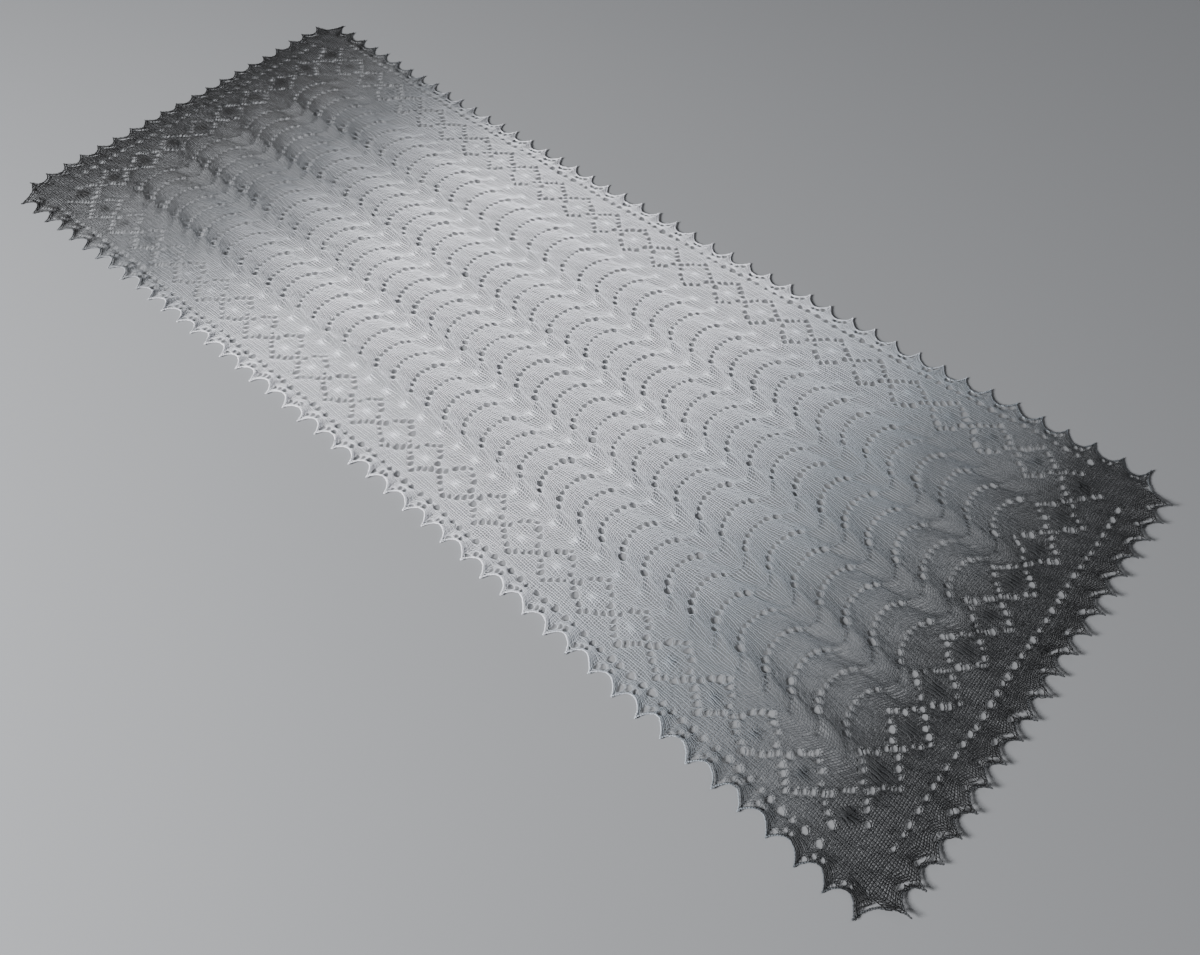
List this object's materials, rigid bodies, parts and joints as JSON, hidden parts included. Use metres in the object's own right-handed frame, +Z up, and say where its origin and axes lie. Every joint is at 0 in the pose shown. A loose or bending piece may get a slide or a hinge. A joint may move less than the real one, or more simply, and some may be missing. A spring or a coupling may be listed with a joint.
{
  "type": "knitted lace shawl laid flat",
  "caption": "Long rectangular knitted lace shawl, laid flat, with a fan lace centre, a border of open diamonds and a pointed scalloped edging.",
  "frame": {"origin": "on the surface that the shawl lies on, under the middle of its box", "axes": "+Z up out of the surface, +Y along the shawl towards the end that is farther away in the picture, +X across it to the right"},
  "size_m": [0.634, 1.5692, 0.0069],
  "materials": {
    "gradient_yarn": "fine wool yarn, matt with a slight halo, shading from charcoal at both short ends through grey to silver white in the middle"
  },
  "bodies": {
    "root": {"centre_panel": "gradient_yarn", "border_left": "gradient_yarn", "border_right": "gradient_yarn", "border_near": "gradient_yarn", "border_far": "gradient_yarn", "edging_left": "gradient_yarn", "edging_right": "gradient_yarn", "edging_near": "gradient_yarn", "edging_far": "gradient_yarn"}
  },
  "joints": []
}
